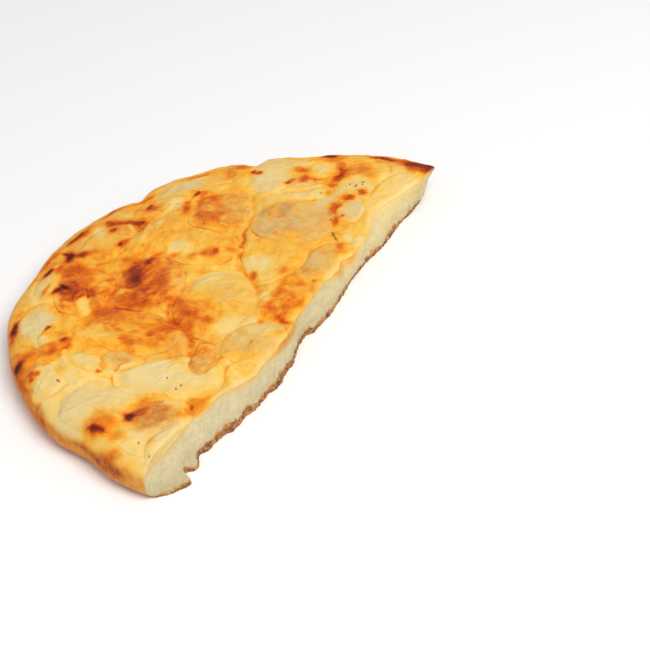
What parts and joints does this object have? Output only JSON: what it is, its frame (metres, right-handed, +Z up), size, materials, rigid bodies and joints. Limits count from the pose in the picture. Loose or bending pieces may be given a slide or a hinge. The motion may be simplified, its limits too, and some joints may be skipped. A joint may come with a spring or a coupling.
{
  "type": "potato focaccia",
  "caption": "Half of a round flat bread, cut straight across, with thin overlapping potato slices baked onto its top and browned in patches.",
  "frame": {"origin": "bottom centre of the bounding box, on the plane of the flat base", "axes": "+X along the straight cut, +Y from the cut towards the round side, +Z up from the base"},
  "size_m": [0.2826, 0.1506, 0.0203],
  "materials": {
    "baked_dough": "baked bread: golden to brown dry crust outside, cream open crumb on the cut",
    "potato": "baked potato slice: pale yellow to orange, browned in patches, thin film of oil",
    "herbs": "dried dark herb flecks"
  },
  "bodies": {
    "root": {"bread": "baked_dough", "potato_slice_01": "potato", "potato_slice_02": "potato", "potato_slice_03": "potato", "potato_slice_04": "potato", "potato_slice_05": "potato", "potato_slice_06": "potato", "potato_slice_07": "potato", "potato_slice_08": "potato", "potato_slice_09": "potato", "potato_slice_10": "potato", "potato_slice_11": "potato", "potato_slice_12": "potato", "potato_slice_13": "potato", "potato_slice_14": "potato", "potato_slice_15": "potato", "potato_slice_16": "potato", "potato_slice_17": "potato", "potato_slice_18": "potato", "potato_slice_19": "potato", "potato_slice_20": "potato", "potato_slice_21": "potato", "potato_slice_22": "potato", "potato_slice_23": "potato", "potato_slice_24": "potato", "potato_slice_25": "potato", "potato_slice_26": "potato", "potato_slice_27": "potato", "potato_slice_28": "potato", "potato_slice_29": "potato", "potato_slice_30": "potato", "potato_slice_31": "potato", "potato_slice_32": "potato", "potato_slice_33": "potato", "potato_slice_34": "potato"}
  },
  "joints": []
}
